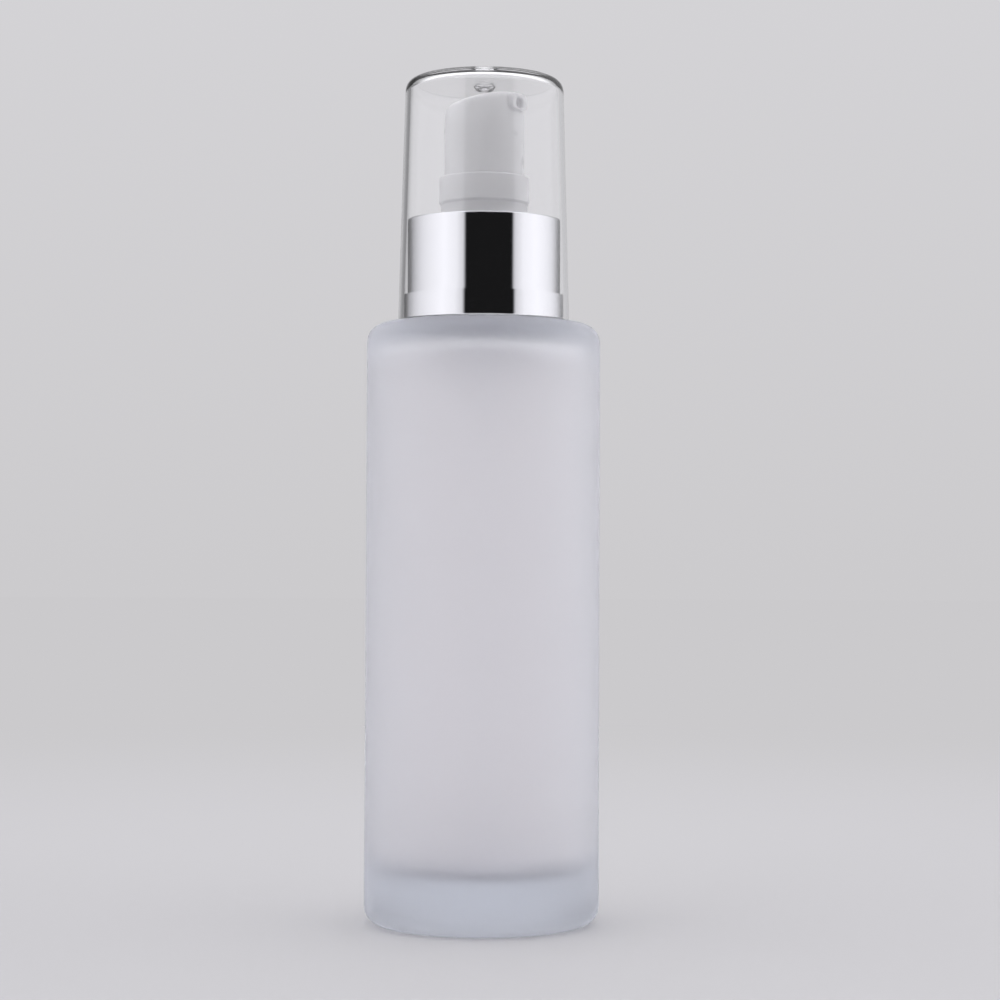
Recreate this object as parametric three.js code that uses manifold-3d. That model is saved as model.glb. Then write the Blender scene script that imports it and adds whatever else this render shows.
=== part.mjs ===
// A cylindrical frosted-glass foundation bottle with a chromed collar, a lotion pump and a clear overcap.
// Millimetres, +Z up. The origin is the centre of the base, on the surface that the bottle stands on.
// Every piece is turned about the Z axis, apart from the pump head's crown and nozzle.

import * as THREE from 'three';
import { mergeVertices } from 'three/addons/utils/BufferGeometryUtils.js';
import Module from 'manifold-3d';

const wasm = await Module();
wasm.setup();

// ---------- Driving dimensions ----------

// Glass bottle
const BODY_RADIUS = 20.5;
const SHOULDER_HEIGHT = 104.8;
const BASE_CORNER = 4.0;
const SHOULDER_CORNER = 3.1;
const GLASS_WALL = 2.4;
const GLASS_FLOOR = 9.0;
const GLASS_SHOULDER = 3.4;
const CAVITY_CORNER = 4.0;
const FOOT_RING_WIDTH = 2.2;
const PUNT_DEPTH = 0.8;

// Neck and thread
const NECK_RADIUS = 10.9;
const NECK_HEIGHT = 13.4;
const NECK_WALL = 3.4;
const NECK_FILLET = 0.8;
const THREAD_PITCH = 3.175;
const THREAD_TURNS = 1.5;
const THREAD_HEIGHT = 0.95;
const THREAD_ROOT_WIDTH = 1.9;
const THREAD_CREST_WIDTH = 1.0;
const THREAD_TOP_GAP = 3.25;
const THREAD_FADE_TURNS = 0.09;
const THREAD_EMBED = 0.35;

// Closure: threaded plastic nut in a chromed shell
const NUT_THREAD_HEIGHT = 1.0;
const NUT_THREAD_ROOT_WIDTH = 1.1;
const NUT_THREAD_CREST_WIDTH = 0.6;
const NUT_WALL = 0.7;
const NUT_DECK = 1.2;
const SHELL_WALL = 0.5;
const SHELL_EDGE = 0.4;
const FLANGE_STEP = 0.6;
const FLANGE_HEIGHT = 4.4;

// Gasket, flanges and turret
const GASKET_THICKNESS = 0.95;
const HOUSING_FLANGE = 1.1;
const TURRET_FLANGE = 0.85;
const TURRET_FLANGE_WIDTH = 1.65;
const TURRET_RADIUS = 7.95;
const TURRET_WALL = 0.6;
const TURRET_WAIST = 0.35;
const TURRET_WAIST_RISE = 2.85;
const TURRET_FLOOR_RISE = 1.55;
const TURRET_FLOOR = 1.6;
const PLUG_WALL = 2.0;
const PLUG_DEPTH = 4.8;

// Pump
const STROKE = 4.5;
const BARREL_BORE = 4.0;
const BARREL_WALL = 1.0;
const STEM_RADIUS = 2.25;
const STEM_BORE = 1.3;
const STEM_BELL_RADIUS = 3.3;
const STEM_BELL_HEIGHT = 2.7;
const PISTON_HEIGHT = 3.85;
const PISTON_FLOAT = 0.8;
const CORE_SHANK_RADIUS = 1.9;
const CORE_HEAD_RADIUS = 3.0;
const CORE_HEAD_HEIGHT = 1.2;
const CORE_SPIGOT_LENGTH = 5.5;
const CORE_DUCT = 0.7;
const SPRING_WIRE_RADIUS = 0.35;
const SPRING_COIL_RADIUS = 2.75;
const SPRING_TURNS = 7;
const SPRING_SPARE = 1.0;
const BALL_RADIUS = 1.5;
const BALL_LIFT = 1.2;
const INLET_RADIUS = 1.0;
const TUBE_RADIUS = 2.0;
const TUBE_WALL = 0.7;
const TUBE_SOCKET_DEPTH = 5.0;
const TUBE_FLOOR_GAP = 2.0;

// Pump head
const SKIRT_ENGAGEMENT = 1.1;
const SKIRT_WALL = 1.0;
const HEAD_HEIGHT = 13.6;
const CREST_RISE = 2.4;
const CROWN_HEIGHT = 2.6;
const CROWN_DRAFT = 0.25;
const CROWN_EDGE = 0.9;
const CROWN_ROOF = 1.4;
const SOCKET_WALL = 1.3;
const SOCKET_RECESS = 1.4;
const SPOUT_TURN = THREE.MathUtils.degToRad(-35);
const NOZZLE_WIDTH = 4.2;
const NOZZLE_HEIGHT = 2.9;
const NOZZLE_CORNER = 0.8;
const NOZZLE_PROUD = 0.55;
const NOZZLE_DROP = 0.55;
const NOZZLE_ROOT = 2.1;
const ORIFICE_WIDTH = 2.0;
const ORIFICE_HEIGHT = 1.7;
const ORIFICE_DEPTH = 0.9;
const CHANNEL_RADIUS = 0.75;
const CHANNEL_TILT = THREE.MathUtils.degToRad(6);

// Overcap
const CAP_WALL = 0.9;
const CAP_DRAFT = THREE.MathUtils.degToRad(1.54);
const CAP_CEILING = 1.2;
const CAP_HEADROOM = 1.4;
const CAP_EDGE = 2.0;
const CAP_INNER_EDGE = 1.1;
const GATE_RADIUS = 1.7;
const GATE_DEPTH = 0.75;

// Clearances
const SEAT_GAP = 0.05;
const COLLAR_GAP = 0.5;
const THREAD_RADIAL_GAP = 0.3;
const THREAD_FLANK_GAP = 0.2;
const SHELL_GAP = 0.1;
const DECK_HOLE_GAP = 0.5;
const SKIRT_GAP = 0.3;
const GUIDE_GAP = 0.15;
const PLUG_GAP = 0.1;
const RUNNING_GAP = 0.05;
const END_GAP = 0.5;
const CAP_GAP = 0.12;
const REST_GAP = 0.2;
const BALL_GAP = 0.03;

// Facets round a full turn
const WIDE_FACETS = 40;
const MIDDLE_FACETS = 28;
const NARROW_FACETS = 20;
const FINE_FACETS = 12;

// ---------- Radii and heights worked out from the dimensions ----------

const neckTop = SHOULDER_HEIGHT + NECK_HEIGHT;
const neckBore = NECK_RADIUS - NECK_WALL;
const threadTop = neckTop - THREAD_TOP_GAP;
const threadRadius = NECK_RADIUS + THREAD_HEIGHT;

const nutBore = threadRadius + THREAD_RADIAL_GAP;
const nutRadius = nutBore + NUT_WALL;
const shellBore = nutRadius + SHELL_GAP;
const shellRadius = shellBore + SHELL_WALL;
const flangeRadius = shellRadius + FLANGE_STEP;

const gasketFoot = neckTop + SEAT_GAP;
const gasketTop = gasketFoot + GASKET_THICKNESS;
const housingFlangeFoot = gasketTop + SEAT_GAP;
const housingFlangeTop = housingFlangeFoot + HOUSING_FLANGE;
const turretFoot = housingFlangeTop + SEAT_GAP;
const turretFlangeTop = turretFoot + TURRET_FLANGE;
const deckFoot = turretFlangeTop + SEAT_GAP;
const deckTop = deckFoot + NUT_DECK;
const shellLipFoot = deckTop + SEAT_GAP;
const collarTop = shellLipFoot + SHELL_WALL;
const collarFoot = SHOULDER_HEIGHT + COLLAR_GAP;
const flangeTop = collarFoot + FLANGE_HEIGHT;

const turretWaistRadius = TURRET_RADIUS - TURRET_WAIST;
const turretBore = TURRET_RADIUS - TURRET_WALL;
const deckHole = turretWaistRadius + DECK_HOLE_GAP;
const turretFloorTop = collarTop + TURRET_FLOOR_RISE;
const turretFloorFoot = turretFloorTop - TURRET_FLOOR;
const skirtFoot = turretFloorTop + END_GAP + STROKE;
const turretTop = skirtFoot + SKIRT_ENGAGEMENT;

const guideBore = STEM_RADIUS + GUIDE_GAP;
const plugRadius = guideBore + PLUG_WALL;
const plugFoot = turretFloorFoot - PLUG_DEPTH;
const counterBore = plugRadius + PLUG_GAP;
const counterBoreFoot = plugFoot - REST_GAP;
const upstandRadius = counterBore + BARREL_WALL;
const upstandTop = turretFloorFoot - REST_GAP;
const barrelRadius = BARREL_BORE + BARREL_WALL;

const bellTop = counterBoreFoot;
const bellFoot = bellTop - STEM_BELL_HEIGHT;
const coreHeadTop = bellFoot - RUNNING_GAP - PISTON_FLOAT - PISTON_HEIGHT - RUNNING_GAP;
const pistonFoot = coreHeadTop + RUNNING_GAP;
const coreHeadFoot = coreHeadTop - CORE_HEAD_HEIGHT;

const springTop = coreHeadFoot - SEAT_GAP;
const springSolid = SPRING_TURNS * 2 * SPRING_WIRE_RADIUS;
const springFoot = springTop - springSolid - SPRING_SPARE - STROKE;
const barrelFloor = springFoot - SEAT_GAP;

const ballChamber = BALL_RADIUS + 2 * GUIDE_GAP;
const ballSeatReach = BALL_RADIUS * Math.SQRT1_2;
const retainerHeight = 0.4;
const chamberTop = barrelFloor - retainerHeight;
const ballCentre = chamberTop - REST_GAP - BALL_LIFT - BALL_RADIUS;
const seatContact = ballCentre - BALL_GAP - ballSeatReach;
const seatFoot = seatContact - (ballSeatReach - INLET_RADIUS);
const seatTop = seatFoot + (ballChamber - INLET_RADIUS);
const socketRoof = seatFoot - BARREL_WALL;
const socketFoot = socketRoof - TUBE_SOCKET_DEPTH;
const tubeSocketBore = TUBE_RADIUS + RUNNING_GAP;
const tailRadius = tubeSocketBore + BARREL_WALL;

const headRadius = turretBore - SKIRT_GAP;
const crownLow = skirtFoot + HEAD_HEIGHT;
const crownCrest = crownLow + CREST_RISE;
const crownFoot = crownLow - CROWN_HEIGHT;
const socketTop = crownLow - CROWN_ROOF;
const stemTop = socketTop - REST_GAP;

const capFoot = collarFoot - RUNNING_GAP;
const capCeiling = crownCrest + CAP_HEADROOM;
const capTop = capCeiling + CAP_CEILING;

// ---------- Materials ----------

function finish(color, roughness, metalness = 0) {
  return new THREE.MeshStandardMaterial({ color, roughness, metalness });
}

const frostedGlass = finish(0xd3dae4, 0.55);
const clearPlastic = finish(0xf0f1f4, 0.05);
const chrome = finish(0xd8d9de, 0.06, 1);
const whitePlastic = finish(0xe9e8ee, 0.3);
const naturalPlastic = finish(0xe4e6e8, 0.45);
const foam = finish(0xf4f4f2, 0.85);
const springSteel = finish(0xb9bbbe, 0.25, 1);

// ---------- Helpers ----------

const at = (radius, height) => new THREE.Vector2(radius, height);

// Points of an arc round a centre, from one angle to another in degrees, both ends kept.
function arc(centreRadius, centreHeight, radius, fromDegrees, toDegrees, steps = 4) {
  const points = [];
  for (let i = 0; i <= steps; i += 1) {
    const angle = THREE.MathUtils.degToRad(fromDegrees + ((toDegrees - fromDegrees) * i) / steps);
    points.push(at(centreRadius + radius * Math.cos(angle), centreHeight + radius * Math.sin(angle)));
  }
  return points;
}

// Keeps positions only, merges shared corners and drops triangles that have collapsed at a pole.
function welded(geometry) {
  geometry.deleteAttribute('normal');
  geometry.deleteAttribute('uv');
  const merged = mergeVertices(geometry, 1e-5);
  const source = merged.index.array;
  const kept = [];
  for (let i = 0; i < source.length; i += 3) {
    const [a, b, c] = [source[i], source[i + 1], source[i + 2]];
    if (a !== b && b !== c && c !== a) kept.push(a, b, c);
  }
  merged.setIndex(kept);
  return merged;
}

// Turns a profile about the Z axis. The profile runs anticlockwise in the plane of radius and height.
// It starts and ends on the axis, or it is a ring, which is closed here.
function turned(profile, facets) {
  const points = profile[0].x === 0 ? profile : [...profile, profile[0].clone()];
  const geometry = new THREE.LatheGeometry(points, facets);
  geometry.rotateX(Math.PI / 2);
  return welded(geometry);
}

function ring(innerRadius, outerRadius, foot, top, facets) {
  const lower = [at(innerRadius, foot), at(outerRadius, foot)];
  const upper = [at(outerRadius, top), at(innerRadius, top)];
  return turned([...lower, ...upper], facets);
}

function toManifold(geometry) {
  const vertProperties = new Float32Array(geometry.getAttribute('position').array);
  const triVerts = new Uint32Array(geometry.index.array);
  return new wasm.Manifold(new wasm.Mesh({ numProp: 3, vertProperties, triVerts }));
}

function fromManifold(solid) {
  const mesh = solid.getMesh();
  const geometry = new THREE.BufferGeometry();
  geometry.setAttribute('position', new THREE.BufferAttribute(new Float32Array(mesh.vertProperties), 3));
  geometry.setIndex(new THREE.BufferAttribute(new Uint32Array(mesh.triVerts), 1));
  return geometry;
}

function joined(first, ...others) {
  const total = others.reduce((sum, other) => sum.add(toManifold(other)), toManifold(first));
  return fromManifold(total);
}

function cut(body, ...tools) {
  const rest = tools.reduce((left, tool) => left.subtract(toManifold(tool)), toManifold(body));
  return fromManifold(rest);
}

// A right-hand thread: a straight ridge, bent round the axis. It fades into its wall at both ends.
function threadRidge({ wallRadius, height, rootWidth, crestWidth, topCentre }) {
  const inward = Math.sign(height);
  const buried = wallRadius - inward * THREAD_EMBED;
  const outline = new THREE.Shape([
    at(-rootWidth / 2, buried),
    at(-rootWidth / 2, wallRadius),
    at(-crestWidth / 2, wallRadius + height),
    at(crestWidth / 2, wallRadius + height),
    at(rootWidth / 2, wallRadius),
    at(rootWidth / 2, buried),
  ]);
  const steps = Math.round(THREAD_TURNS * WIDE_FACETS);
  const straight = new THREE.ExtrudeGeometry(outline, { depth: 1, steps, bevelEnabled: false });
  const corners = straight.getAttribute('position');
  for (let i = 0; i < corners.count; i += 1) {
    const along = corners.getZ(i) * THREAD_TURNS;
    const toEnd = Math.min(along, THREAD_TURNS - along);
    const fade = THREE.MathUtils.clamp(0.2 + (0.8 * toEnd) / THREAD_FADE_TURNS, 0.2, 1);
    const radius = buried + (corners.getY(i) - buried) * fade;
    const angle = 2 * Math.PI * along;
    const centre = topCentre - THREAD_PITCH * (THREAD_TURNS - along);
    corners.setXYZ(i, radius * Math.cos(angle), radius * Math.sin(angle), centre + corners.getX(i));
  }
  return welded(straight);
}

// ---------- Glass bottle ----------

function glassBottle() {
  const cavityRadius = BODY_RADIUS - GLASS_WALL;
  const cavityTop = SHOULDER_HEIGHT - GLASS_SHOULDER;
  const footOuter = BODY_RADIUS - BASE_CORNER;
  const footInner = footOuter - FOOT_RING_WIDTH;
  const profile = [
    at(0, PUNT_DEPTH),
    at(footInner * 0.55, PUNT_DEPTH * 0.72),
    at(footInner, 0),
    ...arc(footOuter, BASE_CORNER, BASE_CORNER, -90, 0),
    ...arc(BODY_RADIUS - SHOULDER_CORNER, SHOULDER_HEIGHT - SHOULDER_CORNER, SHOULDER_CORNER, 0, 90),
    ...arc(NECK_RADIUS + NECK_FILLET, SHOULDER_HEIGHT + NECK_FILLET, NECK_FILLET, 270, 180, 2),
    ...arc(NECK_RADIUS - NECK_FILLET, neckTop - NECK_FILLET, NECK_FILLET, 0, 90, 2),
    at(neckBore, neckTop),
    at(neckBore, cavityTop + NECK_FILLET),
    ...arc(neckBore + NECK_FILLET, cavityTop + NECK_FILLET, NECK_FILLET, 180, 270, 2),
    ...arc(cavityRadius - CAVITY_CORNER, cavityTop - CAVITY_CORNER, CAVITY_CORNER, 90, 0),
    ...arc(cavityRadius - CAVITY_CORNER, GLASS_FLOOR + CAVITY_CORNER, CAVITY_CORNER, 0, -90),
    at(0, GLASS_FLOOR),
  ];
  const ridge = threadRidge({
    wallRadius: NECK_RADIUS,
    height: THREAD_HEIGHT,
    rootWidth: THREAD_ROOT_WIDTH,
    crestWidth: THREAD_CREST_WIDTH,
    topCentre: threadTop,
  });
  return joined(turned(profile, WIDE_FACETS), ridge);
}

// ---------- Closure ----------

function closureNut() {
  const skirtTop = flangeTop - SHELL_WALL - SHELL_GAP;
  const profile = [
    at(nutBore, collarFoot),
    at(nutRadius + FLANGE_STEP, collarFoot),
    at(nutRadius + FLANGE_STEP, skirtTop),
    at(nutRadius, skirtTop),
    at(nutRadius, deckTop),
    at(deckHole, deckTop),
    at(deckHole, deckFoot),
    at(nutBore, deckFoot),
  ];
  // The nut's ridge bears on the underside of the bottle's ridge, one flank gap below it.
  const bottleRidge = (THREAD_ROOT_WIDTH + THREAD_CREST_WIDTH) / 2;
  const nutRidge = (NUT_THREAD_ROOT_WIDTH + NUT_THREAD_CREST_WIDTH) / 2;
  const ridge = threadRidge({
    wallRadius: nutBore,
    height: -NUT_THREAD_HEIGHT,
    rootWidth: NUT_THREAD_ROOT_WIDTH,
    crestWidth: NUT_THREAD_CREST_WIDTH,
    topCentre: threadTop - (bottleRidge + nutRidge) / 2 - THREAD_FLANK_GAP,
  });
  return joined(turned(profile, WIDE_FACETS), ridge);
}

function collarShell() {
  const flangeBore = flangeRadius - SHELL_WALL;
  const edgeSteps = 2;
  const profile = [
    at(flangeBore, collarFoot),
    at(flangeRadius, collarFoot),
    ...arc(flangeRadius - SHELL_EDGE / 2, flangeTop - SHELL_EDGE / 2, SHELL_EDGE / 2, 0, 90, edgeSteps),
    at(shellRadius, flangeTop),
    ...arc(shellRadius - SHELL_EDGE, collarTop - SHELL_EDGE, SHELL_EDGE, 0, 90, edgeSteps),
    at(deckHole, collarTop),
    at(deckHole, shellLipFoot),
    at(shellBore, shellLipFoot),
    at(shellBore, flangeTop - SHELL_WALL),
    at(flangeBore, flangeTop - SHELL_WALL),
  ];
  return turned(profile, WIDE_FACETS);
}

function gasket() {
  return ring(neckBore, NECK_RADIUS, gasketFoot, gasketTop, MIDDLE_FACETS);
}

// ---------- Pump, from the turret down to the dip tube ----------

function turret() {
  const lipEdge = 0.2;
  const waistTop = collarTop + TURRET_WAIST_RISE;
  const upstandGap = upstandRadius + PLUG_GAP;
  const profile = [
    at(upstandGap, turretFoot),
    at(turretWaistRadius + TURRET_FLANGE_WIDTH, turretFoot),
    at(turretWaistRadius + TURRET_FLANGE_WIDTH, turretFlangeTop),
    at(turretWaistRadius, turretFlangeTop),
    at(turretWaistRadius, waistTop),
    at(TURRET_RADIUS, waistTop + TURRET_WAIST),
    at(TURRET_RADIUS, turretTop - lipEdge),
    at(TURRET_RADIUS - lipEdge, turretTop),
    at(turretBore, turretTop),
    at(turretBore, turretFloorTop),
    at(guideBore, turretFloorTop),
    at(guideBore, plugFoot),
    at(plugRadius, plugFoot),
    at(plugRadius, turretFloorFoot),
    at(upstandGap, turretFloorFoot),
  ];
  return turned(profile, MIDDLE_FACETS);
}

function pumpHousing() {
  const retainerBore = BALL_RADIUS - GUIDE_GAP;
  const profile = [
    at(tubeSocketBore, socketFoot),
    at(tailRadius, socketFoot),
    at(tailRadius, seatTop),
    at(barrelRadius, barrelFloor - BARREL_WALL),
    at(barrelRadius, counterBoreFoot - BARREL_WALL),
    at(upstandRadius, counterBoreFoot),
    at(upstandRadius, housingFlangeFoot),
    at(NECK_RADIUS, housingFlangeFoot),
    at(NECK_RADIUS, housingFlangeTop),
    at(upstandRadius, housingFlangeTop),
    at(upstandRadius, upstandTop),
    at(counterBore, upstandTop),
    at(counterBore, counterBoreFoot),
    at(BARREL_BORE, counterBoreFoot),
    at(BARREL_BORE, barrelFloor),
    at(retainerBore, barrelFloor),
    at(retainerBore, chamberTop),
    at(ballChamber, chamberTop),
    at(ballChamber, seatTop),
    at(INLET_RADIUS, seatFoot),
    at(INLET_RADIUS, socketRoof),
    at(tubeSocketBore, socketRoof),
  ];
  return turned(profile, NARROW_FACETS);
}

function stem() {
  const profile = [
    at(STEM_BORE, bellFoot),
    at(STEM_BELL_RADIUS, bellFoot),
    at(STEM_BELL_RADIUS, bellTop),
    at(STEM_RADIUS, bellTop),
    at(STEM_RADIUS, stemTop),
    at(STEM_BORE, stemTop),
  ];
  return turned(profile, NARROW_FACETS);
}

// The spigot plugs into the stem. Two ports let the product in behind the piston's lower lip.
function pistonCore() {
  const spigotRadius = STEM_BORE - RUNNING_GAP;
  const shankTop = bellFoot - RUNNING_GAP;
  const ductFoot = coreHeadTop - CORE_DUCT;
  const profile = [
    at(0, coreHeadFoot),
    at(CORE_HEAD_RADIUS, coreHeadFoot),
    at(CORE_HEAD_RADIUS, coreHeadTop),
    at(CORE_SHANK_RADIUS, coreHeadTop),
    at(CORE_SHANK_RADIUS, shankTop),
    at(spigotRadius, shankTop),
    at(spigotRadius, shankTop + CORE_SPIGOT_LENGTH),
    at(CORE_DUCT, shankTop + CORE_SPIGOT_LENGTH),
    at(CORE_DUCT, ductFoot),
    at(0, ductFoot),
  ];
  const port = new THREE.CylinderGeometry(CORE_DUCT, CORE_DUCT, 4 * CORE_SHANK_RADIUS, 8);
  port.translate(0, 0, coreHeadTop + 2 * CORE_DUCT);
  return cut(turned(profile, NARROW_FACETS), welded(port));
}

// A sleeve with a thin flared lip at each end, which wipes the barrel.
function piston() {
  const sleeveRadius = CORE_SHANK_RADIUS + RUNNING_GAP;
  const lipRadius = BARREL_BORE - RUNNING_GAP;
  const lipHeight = 0.5;
  const lipRoot = PISTON_HEIGHT * 0.3;
  const waistRadius = (sleeveRadius + lipRadius) / 2 + 0.3;
  const grooveRadius = (sleeveRadius + lipRadius) / 2 + 0.2;
  const grooveDepth = PISTON_HEIGHT * 0.22;
  const pistonTop = pistonFoot + PISTON_HEIGHT;
  const profile = [
    at(sleeveRadius, pistonFoot),
    at(grooveRadius, pistonFoot + grooveDepth),
    at(lipRadius - lipHeight / 2, pistonFoot),
    at(lipRadius, pistonFoot),
    at(lipRadius, pistonFoot + lipHeight),
    at(waistRadius, pistonFoot + lipRoot),
    at(waistRadius, pistonTop - lipRoot),
    at(lipRadius, pistonTop - lipHeight),
    at(lipRadius, pistonTop),
    at(lipRadius - lipHeight / 2, pistonTop),
    at(grooveRadius, pistonTop - grooveDepth),
    at(sleeveRadius, pistonTop),
  ];
  return turned(profile, NARROW_FACETS);
}

// A helix whose first and last turns lie close together, as on a spring with closed ends.
class SpringLine extends THREE.Curve {
  getPoint(t, target = new THREE.Vector3()) {
    const turns = t * SPRING_TURNS;
    const closedPitch = 2.15 * SPRING_WIRE_RADIUS;
    const low = springFoot + SPRING_WIRE_RADIUS;
    const high = springTop - SPRING_WIRE_RADIUS;
    const openPitch = (high - low - 2 * closedPitch) / (SPRING_TURNS - 2);
    const closedBelow = Math.min(turns, 1) * closedPitch;
    const open = THREE.MathUtils.clamp(turns - 1, 0, SPRING_TURNS - 2) * openPitch;
    const closedAbove = Math.max(turns - (SPRING_TURNS - 1), 0) * closedPitch;
    const angle = 2 * Math.PI * turns;
    const height = low + closedBelow + open + closedAbove;
    return target.set(SPRING_COIL_RADIUS * Math.cos(angle), SPRING_COIL_RADIUS * Math.sin(angle), height);
  }
}

function returnSpring() {
  const wire = new THREE.Shape(arc(0, 0, SPRING_WIRE_RADIUS, 0, 300, 5));
  const steps = SPRING_TURNS * FINE_FACETS;
  return welded(new THREE.ExtrudeGeometry(wire, { steps, extrudePath: new SpringLine() }));
}

function checkBall() {
  const ball = new THREE.SphereGeometry(BALL_RADIUS, 14, 8);
  ball.rotateX(Math.PI / 2);
  ball.translate(0, 0, ballCentre);
  return welded(ball);
}

// The lower end is cut on the slant, so that it can't seal itself against the floor.
function dipTube() {
  const foot = GLASS_FLOOR + TUBE_FLOOR_GAP;
  const top = socketRoof - REST_GAP;
  const tube = ring(TUBE_RADIUS - TUBE_WALL, TUBE_RADIUS, foot, top, FINE_FACETS);
  const block = new THREE.BoxGeometry(6 * TUBE_RADIUS, 6 * TUBE_RADIUS, 2 * TUBE_RADIUS);
  block.translate(0, 0, -TUBE_RADIUS);
  block.rotateY(Math.PI / 4);
  block.translate(TUBE_RADIUS, 0, foot);
  return cut(tube, welded(block));
}

// ---------- Pump head ----------

// Height of the finger rest at a distance along the spout's direction. It rises towards the nozzle.
function crownHeightAt(along) {
  const share = THREE.MathUtils.clamp((along + headRadius) / (2 * headRadius), 0, 1);
  return crownLow + CREST_RISE * share ** 1.6;
}

// The outside of the head is turned flat-topped. Then everything above the crown's foot is stretched
// upwards, so that the top follows the finger rest.
function headOutside() {
  const flatRadius = headRadius - CROWN_DRAFT - CROWN_EDGE;
  const topRings = [0.75, 0.5, 0.25, 0];
  const profile = [
    at(0, skirtFoot),
    at(headRadius, skirtFoot),
    at(headRadius, crownFoot),
    ...arc(flatRadius, crownLow - CROWN_EDGE, CROWN_EDGE, 0, 90, 3),
    ...topRings.map((share) => at(flatRadius * share, crownLow)),
  ];
  const body = turned(profile, MIDDLE_FACETS);
  const corners = body.getAttribute('position');
  for (let i = 0; i < corners.count; i += 1) {
    const share = Math.max(corners.getZ(i) - crownFoot, 0) / CROWN_HEIGHT;
    const lift = crownHeightAt(corners.getX(i)) - crownLow;
    corners.setZ(i, corners.getZ(i) + share * lift);
  }
  return body;
}

function roundedRectangle(width, height, corner) {
  const shape = new THREE.Shape();
  const x = width / 2 - corner;
  const y = height / 2 - corner;
  shape.absarc(x, y, corner, 0, Math.PI / 2);
  shape.absarc(-x, y, corner, Math.PI / 2, Math.PI);
  shape.absarc(-x, -y, corner, Math.PI, 1.5 * Math.PI);
  shape.absarc(x, -y, corner, 1.5 * Math.PI, 2 * Math.PI);
  return shape;
}

// A bar of rounded-rectangle section that points along +X, from one distance to another.
function spoutBar(width, height, corner, from, to, centreHeight) {
  const shape = roundedRectangle(width, height, corner);
  const bar = new THREE.ExtrudeGeometry(shape, { depth: to - from, bevelEnabled: false, curveSegments: 3 });
  bar.rotateX(Math.PI / 2);
  bar.rotateZ(Math.PI / 2);
  bar.translate(from, 0, centreHeight);
  return welded(bar);
}

function plug(radius, foot, top, facets) {
  return turned([at(0, foot), at(radius, foot), at(radius, top), at(0, top)], facets);
}

function pumpHead() {
  const skirtBore = headRadius - SKIRT_WALL;
  const socketBore = STEM_RADIUS + RUNNING_GAP;
  const below = skirtFoot - 1;
  const nozzleFace = headRadius + NOZZLE_PROUD;
  const nozzleTop = crownHeightAt(headRadius) - NOZZLE_DROP;
  const nozzleHeight = nozzleTop - NOZZLE_HEIGHT / 2;
  const nozzleFoot = headRadius - NOZZLE_ROOT;
  const nozzle = spoutBar(NOZZLE_WIDTH, NOZZLE_HEIGHT, NOZZLE_CORNER, nozzleFoot, nozzleFace, nozzleHeight);

  const mouth = plug(skirtBore, below, skirtFoot + SOCKET_RECESS, MIDDLE_FACETS);
  const annulus = ring(socketBore + SOCKET_WALL, skirtBore, below, socketTop - SKIRT_WALL, MIDDLE_FACETS);
  const socket = plug(socketBore, below, socketTop, NARROW_FACETS);

  // The channel climbs from above the stem to the middle of the orifice.
  const channelFoot = socketTop + CHANNEL_RADIUS;
  const channelEnd = channelFoot + nozzleFace * Math.tan(CHANNEL_TILT);
  const riser = plug(STEM_BORE, below, channelFoot, NARROW_FACETS);
  const channelLength = nozzleFace - ORIFICE_DEPTH / 2;
  const channel = new THREE.CylinderGeometry(CHANNEL_RADIUS, CHANNEL_RADIUS, channelLength, FINE_FACETS);
  channel.rotateZ(-Math.PI / 2);
  channel.translate(channelLength / 2, 0, 0);
  channel.rotateY(-CHANNEL_TILT);
  channel.translate(0, 0, channelFoot);
  const orificeFoot = nozzleFace - ORIFICE_DEPTH;
  const orifice = spoutBar(ORIFICE_WIDTH, ORIFICE_HEIGHT, ORIFICE_HEIGHT / 3, orificeFoot, nozzleFace + 1,
    channelEnd);

  const outside = joined(headOutside(), nozzle);
  const head = cut(outside, mouth, annulus, socket, riser, welded(channel), orifice);
  head.rotateZ(SPOUT_TURN);
  return head;
}

// ---------- Overcap ----------

function overcap() {
  const innerFootRadius = flangeRadius + CAP_GAP;
  const slope = Math.tan(CAP_DRAFT);
  const innerAt = (height) => innerFootRadius - slope * (height - capFoot);
  const outerAt = (height) => innerAt(height) + CAP_WALL;
  const outerEdgeFoot = capTop - CAP_EDGE;
  const innerEdgeFoot = capCeiling - CAP_INNER_EDGE;
  const bulgeRadius = GATE_RADIUS + GATE_DEPTH / 2;
  const gateShoulder = 0.6;
  const gateFall = 0.8;
  const below = capFoot - 1;
  const outside = [
    at(0, capFoot),
    at(outerAt(capFoot), capFoot),
    ...arc(outerAt(outerEdgeFoot) - CAP_EDGE, outerEdgeFoot, CAP_EDGE, 0, 90, 5),
    at(GATE_RADIUS, capTop),
    at(GATE_RADIUS * gateShoulder, capTop - GATE_DEPTH * gateFall),
    at(0, capTop - GATE_DEPTH),
  ];
  const inside = [
    at(0, below),
    at(innerAt(below), below),
    ...arc(innerAt(innerEdgeFoot) - CAP_INNER_EDGE, innerEdgeFoot, CAP_INNER_EDGE, 0, 90, 4),
    at(bulgeRadius, capCeiling),
    at(bulgeRadius * gateShoulder, capCeiling - GATE_DEPTH * gateFall),
    at(0, capCeiling - GATE_DEPTH),
  ];
  return cut(turned(outside, WIDE_FACETS), turned(inside, WIDE_FACETS));
}

// ---------- Assembly ----------

const group = new THREE.Group();

function place(name, geometry, material) {
  const mesh = new THREE.Mesh(geometry, material);
  mesh.name = name;
  group.add(mesh);
}

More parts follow.
